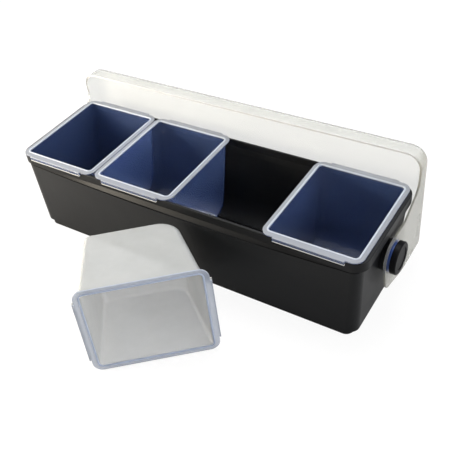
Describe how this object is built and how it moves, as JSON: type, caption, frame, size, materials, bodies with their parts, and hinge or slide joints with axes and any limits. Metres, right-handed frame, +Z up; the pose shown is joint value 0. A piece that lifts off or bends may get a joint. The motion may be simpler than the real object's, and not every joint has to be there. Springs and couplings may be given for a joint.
{
  "type": "garnish tray",
  "caption": "Countertop garnish tray: a black trough with lift-out translucent inserts and a pivoting translucent hood.",
  "frame": {"origin": "centre of the trough's flat underside, on the table", "axes": "+Z up, +X along the trough's length to the right end, -Y towards the user, +Y to the open hood"},
  "size_m": [0.5138, 0.3416, 0.158],
  "materials": {
    "trough_plastic": "satin",
    "insert_plastic": "satin",
    "hood_plastic": "satin",
    "knob_plastic": "satin",
    "stud_steel": "satin"
  },
  "bodies": {
    "base": {"trough": "trough_plastic"},
    "hood": {"lid": "hood_plastic"},
    "first_insert": {"insert_1": "insert_plastic"},
    "second_insert": {"insert_2": "insert_plastic"},
    "fourth_insert": {"insert_4": "insert_plastic"},
    "loose_insert": {"insert_loose": "insert_plastic"},
    "left_knob": {"knob_left": "knob_plastic", "pivot_stud_left": "stud_steel"},
    "right_knob": {"knob_right": "knob_plastic", "pivot_stud_right": "stud_steel"}
  },
  "joints": [
    {"name": "hood_hinge", "type": "hinge", "parent": "base", "child": "hood", "pos_m": [0, 0, 0.073], "axis": [-1, 0, 0], "range_deg": [-90, 0]},
    {"name": "left_knob_turn", "type": "hinge", "parent": "base", "child": "left_knob", "pos_m": [-0.2475, 0, 0.073], "axis": [-1, 0, 0], "continuous": true},
    {"name": "right_knob_turn", "type": "hinge", "parent": "base", "child": "right_knob", "pos_m": [0.2475, 0, 0.073], "axis": [1, 0, 0], "continuous": true},
    {"name": "first_insert_lift", "type": "slide", "parent": "base", "child": "first_insert", "axis": [0, 0, 1], "range_m": [0, 0.13]},
    {"name": "second_insert_lift", "type": "slide", "parent": "base", "child": "second_insert", "axis": [0, 0, 1], "range_m": [0, 0.13]},
    {"name": "fourth_insert_lift", "type": "slide", "parent": "base", "child": "fourth_insert", "axis": [0, 0, 1], "range_m": [0, 0.13]},
    {"name": "loose_insert_lift", "type": "slide", "parent": "base", "child": "loose_insert", "axis": [0, 0, 1], "range_m": [0, 0.13]}
  ]
}
